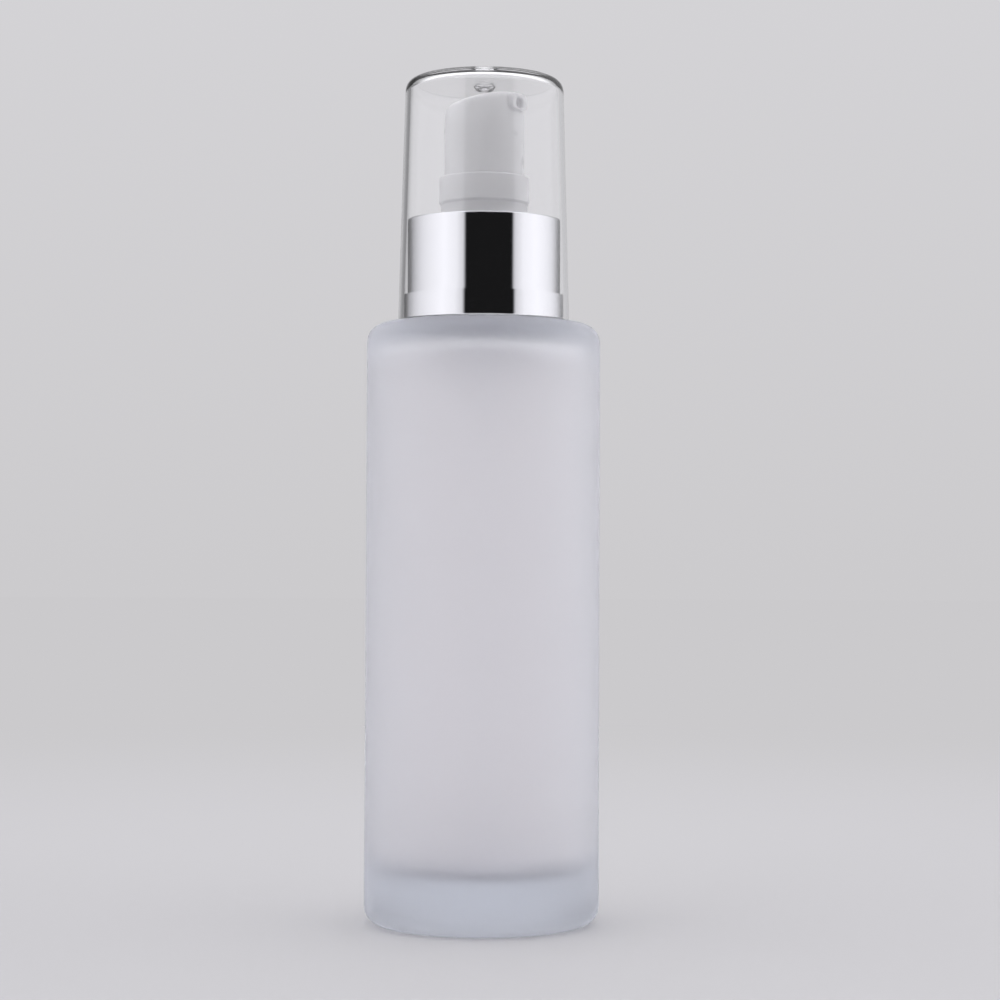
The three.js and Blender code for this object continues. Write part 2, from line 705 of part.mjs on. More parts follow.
place('glass_bottle', glassBottle(), frostedGlass);
place('closure_nut', closureNut(), naturalPlastic);
place('collar_shell', collarShell(), chrome);
place('neck_gasket', gasket(), foam);
place('turret_ring', turret(), whitePlastic);
place('pump_housing', pumpHousing(), naturalPlastic);
place('stem', stem(), naturalPlastic);
place('piston_core', pistonCore(), naturalPlastic);
place('piston', piston(), naturalPlastic);
place('return_spring', returnSpring(), springSteel);
place('check_ball', checkBall(), springSteel);
place('dip_tube', dipTube(), naturalPlastic);
place('pump_head', pumpHead(), whitePlastic);
place('overcap', overcap(), clearPlastic);

export default group;
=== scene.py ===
# %% [markdown]
# # A frosted-glass foundation bottle with a lotion pump and a clear overcap
# The working model of the bottle already exists as a fixed frame: fourteen solids with the right
# sizes, riding on the bodies that move. Their round surfaces are faceted, which is fine for mechanics
# and poor for looks. This script makes a smooth piece for each solid, in the same place, gives each
# one its real finish, and sets up a small product studio round them. Everything is in metres, +Z is
# up, and the front of the bottle looks towards -Y.

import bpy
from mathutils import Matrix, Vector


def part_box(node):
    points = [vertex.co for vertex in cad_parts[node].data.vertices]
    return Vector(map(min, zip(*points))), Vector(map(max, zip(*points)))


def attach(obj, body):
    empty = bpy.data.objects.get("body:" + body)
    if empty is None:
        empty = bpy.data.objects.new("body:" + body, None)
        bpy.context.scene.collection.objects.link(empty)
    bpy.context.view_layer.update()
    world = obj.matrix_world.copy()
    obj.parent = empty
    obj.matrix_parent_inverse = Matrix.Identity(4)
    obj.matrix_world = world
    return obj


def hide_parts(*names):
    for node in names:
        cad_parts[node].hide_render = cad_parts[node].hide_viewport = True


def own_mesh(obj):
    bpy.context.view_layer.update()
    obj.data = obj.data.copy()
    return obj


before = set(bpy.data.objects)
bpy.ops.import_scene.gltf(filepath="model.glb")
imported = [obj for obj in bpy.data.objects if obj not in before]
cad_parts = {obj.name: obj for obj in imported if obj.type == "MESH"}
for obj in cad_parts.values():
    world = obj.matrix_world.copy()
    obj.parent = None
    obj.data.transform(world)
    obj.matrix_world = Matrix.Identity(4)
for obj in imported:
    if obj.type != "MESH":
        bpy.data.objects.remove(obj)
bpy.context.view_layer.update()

# %% Libraries and units
import math

import bmesh
import bpy
from mathutils import Matrix, Vector

MM = 0.001

# %% [markdown]
# ## Camera
# The bottle is seen from a little below its middle with a long lens, so that its sides stay nearly
# parallel. A wider lens close by would frame the same things, but would open up the round rims too much.
# The lens points up slightly, which lets the sides lean together by a hair towards the top.

# %% The camera
CAMERA_DISTANCE = 0.420
CAMERA_HEIGHT = 0.0606
CAMERA_SIDE = 0.0030
CAMERA_PITCH = math.radians(1.83)
CAMERA_ROLL = math.radians(0.22)
SENSOR_WIDTH = 36.0
LENS_LENGTH = 86.0


def make_camera():
    data = bpy.data.cameras.new("camera")
    data.sensor_width = SENSOR_WIDTH
    data.lens = LENS_LENGTH
    camera = bpy.data.objects.new("camera", data)
    bpy.context.scene.collection.objects.link(camera)
    level = Matrix.Rotation(math.pi / 2 + CAMERA_PITCH, 4, "X")
    roll = Matrix.Rotation(CAMERA_ROLL, 4, "Z")
    camera.matrix_world = Matrix.Translation((CAMERA_SIDE, -CAMERA_DISTANCE, CAMERA_HEIGHT)) @ level @ roll
    bpy.context.scene.camera = camera
    return camera


camera = make_camera()
print("camera at", tuple(round(v, 4) for v in camera.location))

# %% [markdown]
# ## Studio
# The bottle stands in a pale light tent: a large soft panel on each side, a lighter roof, and a dark
# gap in front where the camera looks in. Chrome shows such a room like a map: two white fields with a
# black stripe between them. The tent is written into the world's background as a function of
# direction, which is noiseless and has no edges of its own. Lamps would light as well, but their
# rectangles would have to be hidden from every other viewing angle.
#
# What is seen directly, or straight through glass, is a plain pale backdrop. Only light that has
# bounced off something sees the tent.

# %% Helpers for shader nodes


class Nodes:
    """A node tree that is being written. Inputs are numbers, colours or other nodes' sockets."""

    def __init__(self, tree):
        self.tree = tree
        tree.nodes.clear()

    def add(self, kind, inputs=None, **settings):
        node = self.tree.nodes.new(kind)
        for name, value in settings.items():
            setattr(node, name, value)
        for key, value in (inputs or {}).items():
            self.put(node.inputs[key], value)
        return node

    def put(self, socket, value):
        if isinstance(value, bpy.types.NodeSocket):
            self.tree.links.new(value, socket)
        else:
            socket.default_value = value

    def maths(self, operation, *values):
        node = self.add("ShaderNodeMath", operation=operation)
        for socket, value in zip(node.inputs, values):
            self.put(socket, value)
        return node.outputs[0]

    def ramp(self, fac, stops, interpolation="LINEAR"):
        """A colour ramp from (place, value or colour) stops."""
        node = self.add("ShaderNodeValToRGB", {"Fac": fac})
        node.color_ramp.interpolation = interpolation
        points = node.color_ramp.elements
        while len(points) < len(stops):
            points.new(0.5)
        for point, (place, shade) in zip(points, stops):
            point.position = place
            point.color = (*shade, 1.0) if isinstance(shade, tuple) else (shade, shade, shade, 1.0)
        return node.outputs[0]


# %% The tent, as a function of direction
BACKDROP = (0.605, 0.597, 0.612)
BACKDROP_HIGH = (0.655, 0.648, 0.668)
TENT_TINT = (0.975, 0.972, 1.0)
# Brightness by compass angle in degrees, measured from the camera's side and positive to the right.
TENT_ROUND = [
    (-180, 0.60),
    (-162, 0.54),
    (-152, 0.26),
    (-136, 0.26),
    (-128, 0.66),
    (-100, 0.88),
    (-60, 1.10),
    (-40, 0.98),
    (-30, 0.72),
    (-26, 0.010),
    (42, 0.010),
    (46, 0.72),
    (60, 1.02),
    (80, 1.12),
    (125, 0.98),
    (135, 0.74),
    (150, 0.56),
    (180, 0.60),
]
ROOF_TONE = 1.3
# Heights here are the upward part of a direction: 0 is level and 1 is straight up.
ROOF_STARTS, ROOF_FULL = 0.45, 0.75
BACKDROP_TOP = 0.23
# Matt surfaces get this much more of the tent than mirrors and glass do.
MATT_GAIN = 1.5


def make_world():
    world = bpy.data.worlds.new("light_tent")
    bpy.context.scene.world = world
    world.use_nodes = True
    n = Nodes(world.node_tree)
    direction = n.add("ShaderNodeTexCoord").outputs["Generated"]
    parts = n.add("ShaderNodeSeparateXYZ", {0: direction})
    towards_camera = n.maths("MULTIPLY", parts.outputs["Y"], -1.0)
    angle = n.maths("ARCTAN2", parts.outputs["X"], towards_camera)
    share = n.maths("MULTIPLY_ADD", angle, 1 / (2 * math.pi), 0.5)
    round_about = n.ramp(share, [(degrees / 360 + 0.5, shade) for degrees, shade in TENT_ROUND])
    up = parts.outputs["Z"]
    roof = n.ramp(up, [(ROOF_STARTS, 0.0), (ROOF_FULL, 1.0)], "EASE")
    shade = n.add("ShaderNodeMix", {"Factor": roof, "A": round_about, "B": ROOF_TONE}, data_type="FLOAT")
    backdrop = n.ramp(up, [(0.0, BACKDROP), (BACKDROP_TOP, BACKDROP_HIGH)])
    plain = n.add("ShaderNodeBackground", {"Color": backdrop})
    path = n.add("ShaderNodeLightPath")
    matt = n.maths("MINIMUM", path.outputs["Diffuse Depth"], 1.0)
    gain = n.maths("MULTIPLY_ADD", matt, MATT_GAIN - 1.0, 1.0)
    strength = n.maths("MULTIPLY", shade.outputs[0], gain)
    tent = n.add("ShaderNodeBackground", {"Strength": strength, "Color": (*TENT_TINT, 1.0)})
    bounced = n.maths("ADD", path.outputs["Diffuse Depth"], path.outputs["Glossy Depth"])
    inside = n.maths("GREATER_THAN", bounced, 0.5)
    both = n.add("ShaderNodeMixShader", {0: inside, 1: plain.outputs[0], 2: tent.outputs[0]})
    n.add("ShaderNodeOutputWorld", {"Surface": both.outputs[0]})


make_world()

# %% [markdown]
# ## Floor
# A pale sheet. Near the bottle it is an ordinary matt surface that takes a soft contact shadow.
# Further out it fades into the backdrop's own tone, so that no horizon shows.

# %% The floor
FLOOR_REACH = 6.0
FAR_FLOOR = (0.598, 0.590, 0.605)
FLOOR_TONE = (0.45, 0.445, 0.453)
FADE_FROM, FADE_TO = 0.12, 0.55


def make_floor():
    mesh = bpy.data.meshes.new("floor")
    r = FLOOR_REACH
    mesh.from_pydata([(-r, -r, 0), (r, -r, 0), (r, r, 0), (-r, r, 0)], [], [(0, 1, 2, 3)])
    floor = bpy.data.objects.new("floor", mesh)
    bpy.context.scene.collection.objects.link(floor)
    material = bpy.data.materials.new("pale_sheet")
    material.use_nodes = True
    n = Nodes(material.node_tree)
    place = n.add("ShaderNodeTexCoord").outputs["Object"]
    grain = n.add("ShaderNodeTexNoise", {"Vector": place, "Scale": 900.0, "Detail": 3.0})
    bump = n.add("ShaderNodeBump", {"Height": grain.outputs[0], "Strength": 0.08, "Distance": 0.0005})
    sheet = n.add("ShaderNodeBsdfPrincipled", {
        "Base Color": (*FLOOR_TONE, 1.0), "Roughness": 0.65, "Normal": bump.outputs[0],
    })
    glow = n.add("ShaderNodeEmission", {"Color": (*FAR_FLOOR, 1.0)})
    distance = n.add("ShaderNodeVectorMath", {0: place}, operation="LENGTH").outputs["Value"]
    far = n.ramp(distance, [(FADE_FROM, 0.0), (FADE_TO, 1.0)], "EASE")
    both = n.add("ShaderNodeMixShader", {0: far, 1: sheet.outputs[0], 2: glow.outputs[0]})
    n.add("ShaderNodeOutputMaterial", {"Surface": both.outputs[0]})
    mesh.materials.append(material)


make_floor()

# %% [markdown]
# ## Tools for turned pieces
# Nearly every piece of a bottle is a body of revolution, moulded or spun. A piece is therefore
# described by its outline: corners of radius and height, each with the fillet that softens it. One
# function rounds the corners and another turns the outline about the axis. A bevel modifier on a
# coarse solid would be an alternative, but it would not give each corner its own radius.

# %% Outlines with filleted corners
FILLET_STEPS = 5
# A narrow flat ring on each side of a fillet keeps its shading from spreading over the long flat faces.
FLAT_MARGIN = 0.06


def rounded(corners, closed=True):
    """Points of an outline whose corners (radius, height, fillet) are in millimetres."""
    points = []
    count = len(corners)
    for i, (x, z, fillet) in enumerate(corners):
        here = Vector((x, z))
        if fillet == 0 or (not closed and i in (0, count - 1)):
            points.append(here)
            continue
        back = Vector(corners[i - 1][:2]) - here
        ahead = Vector(corners[(i + 1) % count][:2]) - here
        half = back.angle(ahead) / 2
        run = fillet / math.tan(half)
        run = min(run, 0.499 * back.length, 0.499 * ahead.length)
        start, end = here + back.normalized() * run, here + ahead.normalized() * run
        middle = here + (back.normalized() + ahead.normalized()).normalized() * run / math.cos(half)
        spread = (start - middle).angle_signed(end - middle)
        points.append(start + back.normalized() * min(FLAT_MARGIN, 0.2 * (back.length - run)))
        for k in range(FILLET_STEPS + 1):
            turn = Matrix.Rotation(-spread * k / FILLET_STEPS, 2)
            points.append(middle + turn @ (start - middle))
        points.append(end + ahead.normalized() * min(FLAT_MARGIN, 0.2 * (ahead.length - run)))
    return points


# %% Turning an outline about the axis
SEGMENTS = 144
SHARP_ANGLE = math.radians(40)


def link(mesh, name):
    obj = bpy.data.objects.new(name, mesh)
    bpy.context.scene.collection.objects.link(obj)
    return obj


def smooth(mesh):
    mesh.polygons.foreach_set("use_smooth", [True] * len(mesh.polygons))
    mesh.set_sharp_from_angle(angle=SHARP_ANGLE)
    mesh.update()


def turned(name, points, segments=SEGMENTS):
    """A closed mesh: a closed outline, or one that starts and ends on the axis, anticlockwise."""
    closed = points[0].x > 0
    verts, rings = [], []
    for p in points:
        if p.x <= 1e-9:
            rings.append([len(verts)])
            verts.append((0.0, 0.0, p.y * MM))
            continue
        rings.append(list(range(len(verts), len(verts) + segments)))
        for k in range(segments):
            angle = 2 * math.pi * k / segments
            verts.append((p.x * math.cos(angle) * MM, p.x * math.sin(angle) * MM, p.y * MM))
    faces = []
    pairs = list(zip(rings, rings[1:] + rings[:1])) if closed else list(zip(rings, rings[1:]))
    for low, high in pairs:
        for k in range(segments):
            a, b = low[k % len(low)], low[(k + 1) % len(low)]
            c, d = high[(k + 1) % len(high)], high[k % len(high)]
            face = [a, b, c, d]
            faces.append([v for i, v in enumerate(face) if v != face[i - 1]])
    mesh = bpy.data.meshes.new(name)
    mesh.from_pydata(verts, [], faces)
    mesh.validate()
    smooth(mesh)
    return link(mesh, name)


# %% Facing outwards, joining and carving


def faced_outwards(mesh):
    work = bmesh.new()
    work.from_mesh(mesh)
    bmesh.ops.remove_doubles(work, verts=work.verts, dist=1e-7)
    bmesh.ops.recalc_face_normals(work, faces=work.faces)
    work.to_mesh(mesh)
    work.free()


def applied(obj):
    """Replaces an object's mesh with the result of its modifiers."""
    evaluated = obj.evaluated_get(bpy.context.evaluated_depsgraph_get())
    mesh = bpy.data.meshes.new_from_object(evaluated)
    obj.modifiers.clear()
    obj.data = mesh
    return obj


def carved(obj, operation, tools):
    """Joins tools to an object or cuts them from it. The tools are used up."""
    for tool in tools:
        step = obj.modifiers.new("carve", "BOOLEAN")
        step.operation = operation
        step.solver = "EXACT"
        step.object = tool
        applied(obj)
        bpy.data.objects.remove(tool)
    faced_outwards(obj.data)
    smooth(obj.data)
    return obj


# %% Heights taken from the frame


def foot(node):
    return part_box(node)[0].z / MM


def top(node):
    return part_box(node)[1].z / MM


def radius(node):
    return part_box(node)[1].y / MM


print("body radius", round(radius("glass_bottle"), 2), "mm, neck top at", round(top("glass_bottle"), 2))

# %% [markdown]
# ## Finishes
# Each finish is a material of its own, named for the stuff that the piece is made of. Colour and gloss
# sit on the shader's sockets. Noise textures on the piece's own coordinates add what a real surface
# has: faint wiping marks on plated metal, the slight waviness of moulded plastic, the pores of foam. An
# image texture could do the same, but noise needs no unwrapping and has no seam.

# %% A base for every finish


def finish(name, sockets):
    material = bpy.data.materials.new(name)
    material.use_nodes = True
    n = Nodes(material.node_tree)
    shader = n.add("ShaderNodeBsdfPrincipled", sockets)
    n.add("ShaderNodeOutputMaterial", {"Surface": shader.outputs[0]})
    return material, n, shader


def output_of(n):
    return next(node for node in n.tree.nodes if node.type == "OUTPUT_MATERIAL")


def varied(n, shader, scale, low, high, socket="Roughness"):
    """Lets a socket wander between two values over the surface."""
    place = n.add("ShaderNodeTexCoord").outputs["Object"]
    noise = n.add("ShaderNodeTexNoise", {"Vector": place, "Scale": scale, "Detail": 3.0})
    ranged = n.add("ShaderNodeMapRange", {"Value": noise.outputs[0], "To Min": low, "To Max": high})
    n.put(shader.inputs[socket], ranged.outputs[0])
    return place


def bumped(n, shader, place, scale, strength, distance):
    noise = n.add("ShaderNodeTexNoise", {"Vector": place, "Scale": scale, "Detail": 4.0})
    bump = n.add("ShaderNodeBump", {"Height": noise.outputs[0], "Strength": strength, "Distance": distance})
    n.put(shader.inputs["Normal"], bump.outputs[0])


# %% [markdown]
# ## Etched glass
# Acid roughens the outside of the bottle, so light is scattered as it enters. The tint sits in the
# volume, not on the surface, because thick glass has to look bluer than thin glass. The frost could be
# a second material, but the wall is one closed solid, so one material reads from each face how frosted
# it is. On a real bottle the inside is clear. Here it is set half rough, which matches the even, milky
# look of the empty bottle in soft light.

# %% Glass, rougher outside than inside
GLASS_IOR = 1.5
GLASS_TINT = (0.71, 0.845, 1.0)
GLASS_DENSITY = 12.0
OUTER_ROUGHNESS = 0.75
INNER_ROUGHNESS = 0.5


def frosted_glass():
    material, n, shader = finish("frosted_glass", {
        "Base Color": (1.0, 0.988, 1.0, 1.0), "IOR": GLASS_IOR, "Transmission Weight": 1.0,
    })
    frost = n.add("ShaderNodeAttribute", attribute_name="frost").outputs["Fac"]
    n.put(shader.inputs["Roughness"], n.add("ShaderNodeMapRange", {
        "Value": frost, "To Min": INNER_ROUGHNESS, "To Max": OUTER_ROUGHNESS,
    }).outputs[0])
    body = n.add("ShaderNodeVolumeAbsorption", {"Color": (*GLASS_TINT, 1.0), "Density": GLASS_DENSITY})
    n.put(output_of(n).inputs["Volume"], body.outputs[0])
    return material


# %% [markdown]
# ## Metal, plastics and foam
# The collar is plated, so it is a mirror: nearly all of its look is the tent's reflection. The low
# specular tint darkens what it reflects at grazing angles, which draws its narrow dark sides. White
# and natural plastic let light in a little way, so both have subsurface scattering. In the white
# pieces its reach is less than a wall's thickness, or a thin wall would lose its light through the far
# side. The natural plastic is translucent on purpose, so there it reaches further.

# %% Chrome, clear plastic, moulded plastics, foam and wire


def chrome():
    material, n, shader = finish("chrome", {
        "Base Color": (0.90, 0.90, 0.925, 1.0), "Metallic": 1.0, "Specular Tint": (0.05, 0.05, 0.06, 1.0),
    })
    place = varied(n, shader, 300.0, 0.010, 0.025)
    wiped = n.add("ShaderNodeVectorMath", {0: place, 1: (1.0, 1.0, 9.0)}, operation="MULTIPLY").outputs[0]
    bumped(n, shader, wiped, 2600.0, 0.02, 0.00001)
    return material


def clear_plastic():
    material, n, shader = finish("clear_plastic", {
        "Base Color": (0.99, 0.99, 0.995, 1.0), "IOR": 1.49, "Transmission Weight": 1.0,
    })
    place = varied(n, shader, 90.0, 0.0, 0.02)
    bumped(n, shader, place, 120.0, 0.03, 0.00004)
    return material


def white_plastic():
    material, n, shader = finish("white_plastic", {
        "Base Color": (0.955, 0.945, 0.97, 1.0), "IOR": 1.5, "Subsurface Weight": 0.7,
        "Subsurface Scale": 0.0006, "Subsurface Radius": (1.0, 1.0, 1.0),
    })
    place = varied(n, shader, 200.0, 0.24, 0.34)
    bumped(n, shader, place, 700.0, 0.05, 0.00004)
    return material


def natural_plastic():
    material, n, shader = finish("natural_plastic", {
        "Base Color": (0.80, 0.81, 0.82, 1.0), "IOR": 1.5, "Subsurface Weight": 0.4,
        "Subsurface Scale": 0.002, "Subsurface Radius": (1.0, 1.0, 1.0),
    })
    place = varied(n, shader, 200.0, 0.38, 0.5)
    bumped(n, shader, place, 600.0, 0.06, 0.00005)
    return material


def foam():
    material, n, shader = finish("foam", {"Base Color": (0.88, 0.88, 0.86, 1.0)})
    place = varied(n, shader, 900.0, 0.75, 0.95)
    bumped(n, shader, place, 4000.0, 0.4, 0.0002)
    return material


def spring_steel():
    material, n, shader = finish("spring_steel", {"Base Color": (0.62, 0.63, 0.64, 1.0), "Metallic": 1.0})
    varied(n, shader, 1500.0, 0.18, 0.32)
    return material


FINISHES = {make.__name__: make() for make in (
    frosted_glass, chrome, clear_plastic, white_plastic, natural_plastic, foam, spring_steel,
)}
print("finishes:", ", ".join(FINISHES))

# %% Handing a finished piece over to the frame


def hand_over(piece, node, body, materials):
    piece.data.materials.clear()
    for name in materials:
        piece.data.materials.append(FINISHES[name])
    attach(piece, body)
    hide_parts(node)
    print(f"{piece.name}: {len(piece.data.polygons)} faces, on {body}")


# %% [markdown]
# ## Threads and spring
# A thread and a spring are one idea: a section swept along a helix. Geometry Nodes can do both from
# one tree. A straight line of points is bent round the axis by its own progress, from 0 at its foot
# to 1 at its top, and a section is swept along it. The closed share of a turn at each end brings the
# spring's end coils together, and the fade lets a thread run out into its wall.

# %% The coil tree


def make_coil_tree():
    tree = bpy.data.node_groups.new("coil", "GeometryNodeTree")
    face = tree.interface
    face.new_socket("Geometry", in_out="INPUT", socket_type="NodeSocketGeometry")
    for name in ("Radius", "Foot", "Height", "Turns", "Section Width", "Crest Width", "Section Depth",
                 "Fade", "Closed Pitch"):
        face.new_socket(name, in_out="INPUT", socket_type="NodeSocketFloat")
    face.new_socket("Points", in_out="INPUT", socket_type="NodeSocketInt")
    face.new_socket("Round", in_out="INPUT", socket_type="NodeSocketBool")
    face.new_socket("Inward", in_out="INPUT", socket_type="NodeSocketBool")
    face.new_socket("Material", in_out="INPUT", socket_type="NodeSocketMaterial")
    face.new_socket("Geometry", in_out="OUTPUT", socket_type="NodeSocketGeometry")
    n = Nodes(tree)
    given = n.add("NodeGroupInput").outputs
    line = n.add("GeometryNodeCurvePrimitiveLine")
    points = n.add("GeometryNodeResampleCurve", {"Curve": line.outputs[0], "Count": given["Points"]})
    share = n.add("GeometryNodeSplineParameter").outputs["Factor"]
    along = n.maths("MULTIPLY", share, given["Turns"])
    angle = n.maths("MULTIPLY", along, 2 * math.pi)
    x = n.maths("MULTIPLY", given["Radius"], n.maths("COSINE", angle))
    y = n.maths("MULTIPLY", given["Radius"], n.maths("SINE", angle))
    # The end turns climb by the closed pitch, and the open turns share what height is left.
    inner_turns = n.maths("SUBTRACT", given["Turns"], 2.0)
    two_closed = n.maths("MULTIPLY", given["Closed Pitch"], 2.0)
    open_pitch = n.maths("DIVIDE", n.maths("SUBTRACT", given["Height"], two_closed), inner_turns)
    below = n.maths("MULTIPLY", n.maths("MINIMUM", along, 1.0), given["Closed Pitch"])
    middle = n.maths("MINIMUM", n.maths("MAXIMUM", n.maths("SUBTRACT", along, 1.0), 0.0), inner_turns)
    last = n.maths("SUBTRACT", given["Turns"], 1.0)
    past_last = n.maths("MAXIMUM", n.maths("SUBTRACT", along, last), 0.0)
    above = n.maths("MULTIPLY", past_last, given["Closed Pitch"])
    sprung = n.maths("ADD", n.maths("ADD", below, n.maths("MULTIPLY", middle, open_pitch)), above)
    even = n.maths("MULTIPLY", share, given["Height"])
    climb = n.add("GeometryNodeSwitch", {"Switch": given["Round"], "False": even, "True": sprung},
                  input_type="FLOAT").outputs[0]
    z = n.maths("ADD", given["Foot"], climb)
    place = n.add("ShaderNodeCombineXYZ", {"X": x, "Y": y, "Z": z}).outputs[0]
    bent = n.add("GeometryNodeSetPosition", {"Geometry": points.outputs[0], "Position": place})
    upright = n.add("GeometryNodeSetCurveNormal", {"Curve": bent.outputs[0]}, mode="Z_UP")
    to_end = n.maths("MINIMUM", along, n.maths("SUBTRACT", given["Turns"], along))
    faded = n.maths("DIVIDE", to_end, n.maths("MAXIMUM", given["Fade"], 0.0001))
    size = n.maths("MINIMUM", n.maths("ADD", faded, 0.2), 1.0)
    ridge = n.add("GeometryNodeCurvePrimitiveQuadrilateral", {
        "Bottom Width": given["Section Width"], "Top Width": given["Crest Width"],
        "Height": given["Section Depth"], "Offset": 0.0,
    }, mode="TRAPEZOID")
    half_depth = n.maths("MULTIPLY", given["Section Depth"], 0.5)
    side = n.maths("MULTIPLY_ADD", given["Inward"], -2.0, 1.0)
    quarter_turn = n.add("ShaderNodeCombineXYZ", {"Z": n.maths("MULTIPLY", side, -math.pi / 2)}).outputs[0]
    shift = n.add("ShaderNodeCombineXYZ", {"X": n.maths("MULTIPLY", side, half_depth)}).outputs[0]
    ridge = n.add("GeometryNodeTransform", {
        "Geometry": ridge.outputs[0], "Rotation": quarter_turn, "Translation": shift,
    })
    half_width = n.maths("MULTIPLY", given["Section Width"], 0.5)
    wire = n.add("GeometryNodeCurvePrimitiveCircle", {"Resolution": 16, "Radius": half_width})
    section = n.add("GeometryNodeSwitch", {
        "Switch": given["Round"], "False": ridge.outputs[0], "True": wire.outputs[0],
    }, input_type="GEOMETRY")
    swept = n.add("GeometryNodeCurveToMesh", {
        "Curve": upright.outputs[0], "Profile Curve": section.outputs[0], "Scale": size, "Fill Caps": True,
    })
    rounded_off = n.add("GeometryNodeSetShadeSmooth", {"Geometry": swept.outputs[0]})
    real = n.add("GeometryNodeRealizeInstances", {"Geometry": rounded_off.outputs[0]})
    done = n.add("GeometryNodeSetMaterial", {"Geometry": real.outputs[0], "Material": given["Material"]})
    n.add("NodeGroupOutput", {0: done.outputs[0]})
    return tree


coil_tree = make_coil_tree()


def coil(name, material, **inputs):
    """Runs the coil tree on an empty mesh and keeps the result as a plain mesh, from millimetres."""
    obj = link(bpy.data.meshes.new(name + "_seed"), name + "_seed")
    modifier = obj.modifiers.new("coil", "NODES")
    modifier.node_group = coil_tree
    plain_numbers = ("Turns", "Fade", "Points", "Round", "Inward")
    values = {key.replace("_", " ").title(): value for key, value in inputs.items()}
    for item in coil_tree.interface.items_tree:
        if item.in_out == "INPUT" and item.name in values:
            value = values[item.name]
            modifier[item.identifier] = value if item.name in plain_numbers else value * MM
        if item.in_out == "INPUT" and item.name == "Material":
            modifier[item.identifier] = FINISHES[material]
    evaluated = obj.evaluated_get(bpy.context.evaluated_depsgraph_get())
    mesh = bpy.data.meshes.new_from_object(evaluated)
    bpy.data.objects.remove(obj)
    mesh.name = name
    faced_outwards(mesh)
    smooth(mesh)
    return link(mesh, name)


# %% [markdown]
# ## Glass bottle
# The bottle is moulded glass, etched on the outside after it is made. Both skins belong to one closed
# wall: light is bent at each of them and tinted a little by the glass in between, most of all in the
# thick base. The outline runs up the outside and back down the inside, and a value on each face says
# whether it is frosted. A thin shell with a tint on its surface would be quicker, but its base would
# not darken.

# %% The bottle's outline
BODY_RADIUS = radius("glass_bottle")
NECK_TOP = top("glass_bottle")
SHOULDER = 104.8
WALL = 2.4
FLOOR = 9.0
NECK_RADIUS = 10.9
NECK_BORE = 7.5
SHOULDER_THICKNESS = 3.4
PUNT = 0.8
FOOT_OUTER, FOOT_INNER = 16.5, 14.3

bottle_outline = rounded([
    (0, PUNT, 0),
    (FOOT_INNER - 2.0, PUNT * 0.7, 1.5),
    (FOOT_INNER, 0, 0.3),
    (BODY_RADIUS, 0, 4.0),
    (BODY_RADIUS, SHOULDER, 3.1),
    (NECK_RADIUS, SHOULDER, 0.8),
    (NECK_RADIUS, NECK_TOP, 0.8),
    (NECK_BORE, NECK_TOP, 0.6),
    (NECK_BORE, SHOULDER - SHOULDER_THICKNESS, 0.8),
    (BODY_RADIUS - WALL, SHOULDER - SHOULDER_THICKNESS, 4.0),
    (BODY_RADIUS - WALL, FLOOR, 4.0),
    (0, FLOOR, 0),
], closed=False)

# %% The thread and the bottle
THREAD_PITCH = 3.175
THREAD_TURNS = 1.5
THREAD_TOP = NECK_TOP - 3.25
THREAD_ROOT = 0.15
THREAD_FADE = 0.12


def thread(name, material, wall, depth, root, crest, top_centre):
    """A right-hand ridge that grows out of a wall, or inwards from it when its depth is negative."""
    buried = wall - math.copysign(THREAD_ROOT, depth)
    climb = THREAD_PITCH * THREAD_TURNS
    return coil(name, material, radius=buried, foot=top_centre - climb, height=climb, turns=THREAD_TURNS,
                section_width=root, crest_width=crest, section_depth=abs(depth) + THREAD_ROOT,
                fade=THREAD_FADE, points=160, round=False, inward=depth < 0)


def make_bottle():
    bottle = turned("glass_bottle_frosted", bottle_outline)
    ridge = thread("neck_ridge", "frosted_glass", NECK_RADIUS, 0.95, 1.9, 1.0, THREAD_TOP)
    return carved(bottle, "UNION", [ridge])


def finish_bottle(piece):
    frost = piece.data.attributes.new("frost", "FLOAT", "FACE")
    inner_skin = BODY_RADIUS - WALL / 2
    values = []
    for face in piece.data.polygons:
        middle = face.center / MM
        reach = math.hypot(middle.x, middle.y)
        in_cavity = reach < inner_skin and FLOOR - 0.1 < middle.z < SHOULDER - 0.5
        in_bore = reach < NECK_BORE + 0.1 and middle.z > SHOULDER - 0.5
        values.append(0.0 if in_cavity or in_bore else 1.0)
    frost.data.foreach_set("value", values)
    print("frosted share of faces:", round(sum(values) / len(values), 2))
    hand_over(piece, "glass_bottle", "bottle", ["frosted_glass"])


finish_bottle(make_bottle())

# %% [markdown]
# ## Collar
# A thin aluminium shell, drawn and brightly plated, is pressed over the threaded nut. It has a wider
# band at its foot. Its edges are soft, as on all drawn metal, and each soft edge catches a bright line.

# %% The collar shell and the nut
SHELL_RADIUS = 13.45
BAND_RADIUS = radius("collar_shell")
BAND_TOP = 109.7
SHELL_WALL = 0.5
DECK_HOLE = 8.1
COLLAR_FOOT, COLLAR_TOP = foot("collar_shell"), top("collar_shell")

